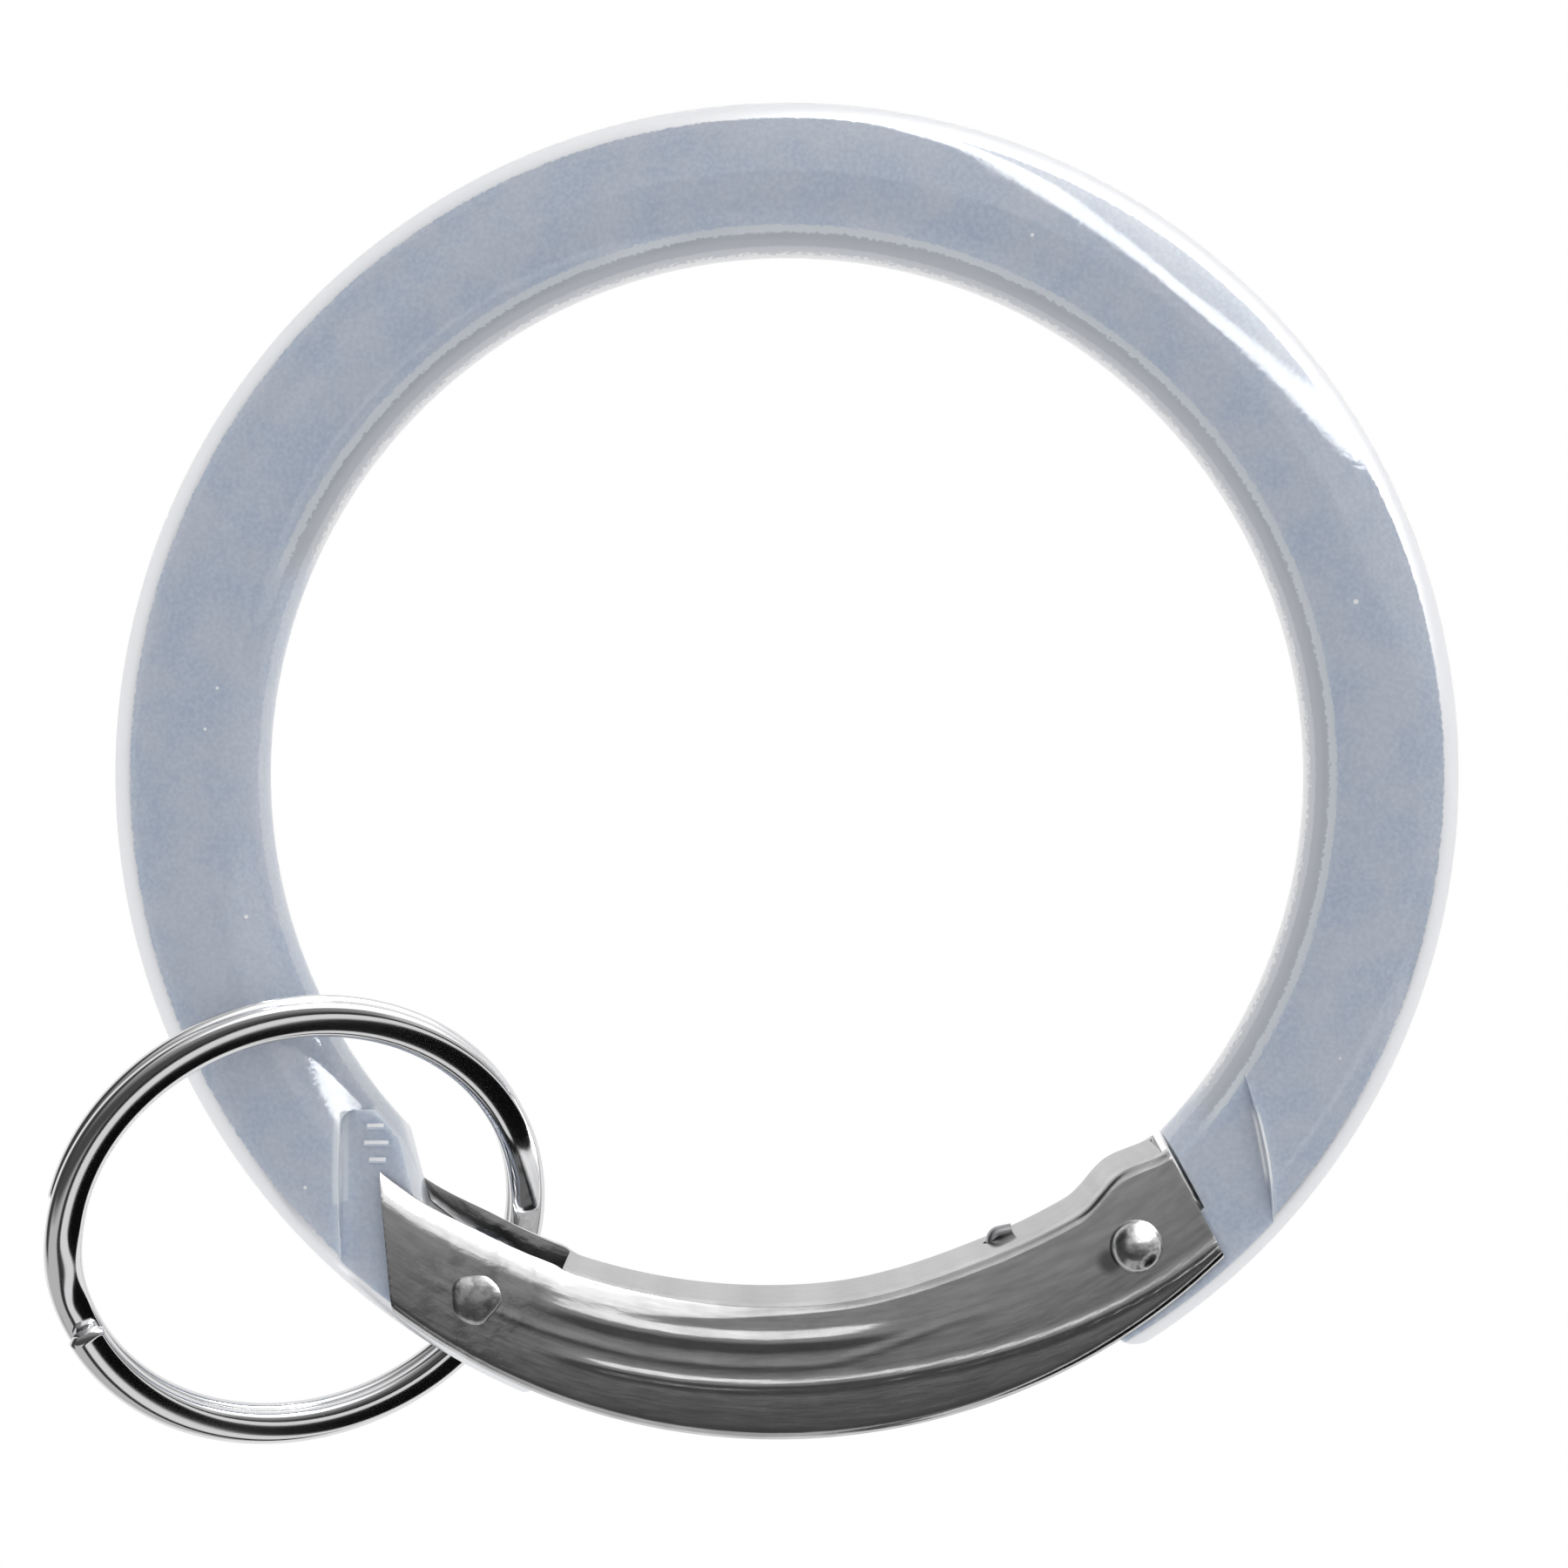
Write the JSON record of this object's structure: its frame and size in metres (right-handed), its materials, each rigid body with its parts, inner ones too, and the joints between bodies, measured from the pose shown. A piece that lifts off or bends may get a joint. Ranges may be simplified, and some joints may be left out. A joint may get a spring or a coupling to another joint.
{
  "type": "round carabiner",
  "caption": "Round snap-link carabiner: a translucent plastic C-shaped loop closed by a sprung, riveted channel gate of folded steel, with a split ring linked round the loop.",
  "frame": {"origin": "centre of the loop, at the middle of its thickness", "axes": "+Z is the loop's normal, towards the viewer; -Y points to the gate; +X points to the gate's free end, so the hinge is at -X"},
  "size_m": [0.0727, 0.0708, 0.0137],
  "materials": {
    "loop_plastic": "glossy translucent grey moulding, lightly scuffed",
    "gate_steel": "bright plated sheet steel with fine scuffs",
    "rivet_steel": "plated steel, peened",
    "spring_steel": "drawn spring wire",
    "ring_steel": "bright plated flattened wire"
  },
  "bodies": {
    "loop": {"loop_body": "loop_plastic"},
    "gate": {"gate": "gate_steel", "pivot_rivet": "rivet_steel", "latch_rivet": "rivet_steel", "gate_spring": "spring_steel"},
    "ring": {"split_ring": "ring_steel"}
  },
  "joints": [
    {"name": "gate_hinge", "type": "hinge", "parent": "loop", "child": "gate", "pos_m": [-0.01593, -0.02683, 0], "axis": [0, 0, 1], "range_deg": [0, 19.5], "stiffness_Nm_per_rad": 0.055, "springref_deg": -57.3, "deforming": ["gate_spring"]},
    {"name": "ring_rock", "type": "hinge", "parent": "loop", "child": "ring", "pos_m": [-0.02539, -0.02351, 0.00015], "axis": [0.7337, 0.6794, 0], "range_deg": [0, 120]}
  ]
}
